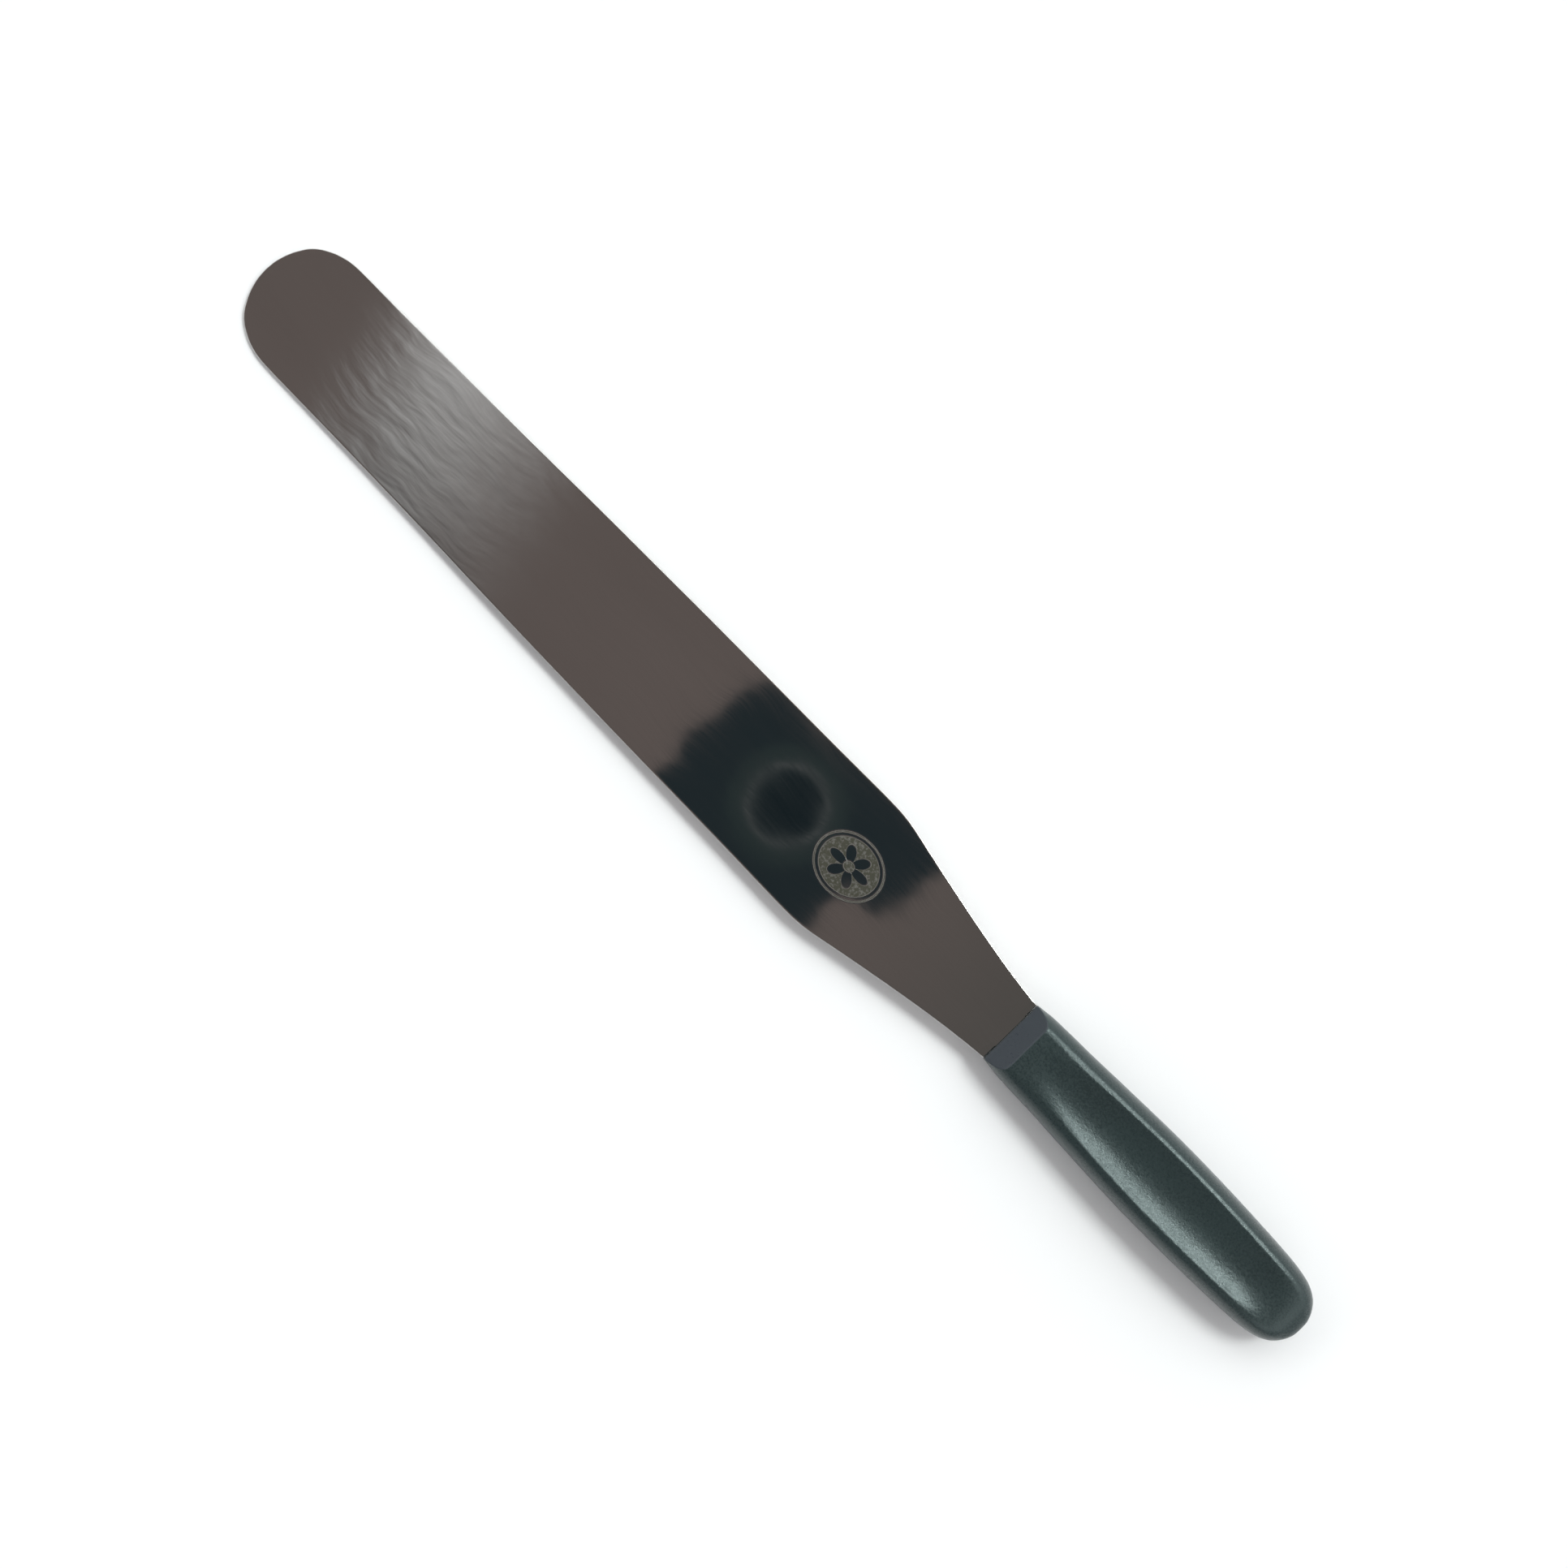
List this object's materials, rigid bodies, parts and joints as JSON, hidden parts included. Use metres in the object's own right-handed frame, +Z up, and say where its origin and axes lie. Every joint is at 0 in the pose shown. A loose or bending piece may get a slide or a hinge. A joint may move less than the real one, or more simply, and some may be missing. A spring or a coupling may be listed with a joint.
{
  "type": "palette knife",
  "caption": "Long flexible round-tipped steel blade, tapering through a narrow neck to a tang held in a moulded handle with dished panels; for mixing and spreading paint.",
  "frame": {"origin": "on the surface that the knife lies on, under the middle of its overall box", "axes": "+X along the knife from blade tip to handle butt, +Z up from the surface; Y = 0 is the plane of symmetry. The blade's middle plane tips 1.3 degrees nose-down about Y, because the knife lies with its tip and the underside of its handle touching the surface"},
  "size_m": [0.3528, 0.0364, 0.0149],
  "materials": {
    "blade_steel": "mirror-polished stainless steel with fine lengthwise polishing lines and a softly broken edge",
    "handle_plastic": "very dark green-black moulded plastic, semi-gloss with a fine grain; nose bevel faces smooth"
  },
  "bodies": {
    "root": {"blade": "blade_steel", "handle": "handle_plastic"}
  },
  "joints": []
}
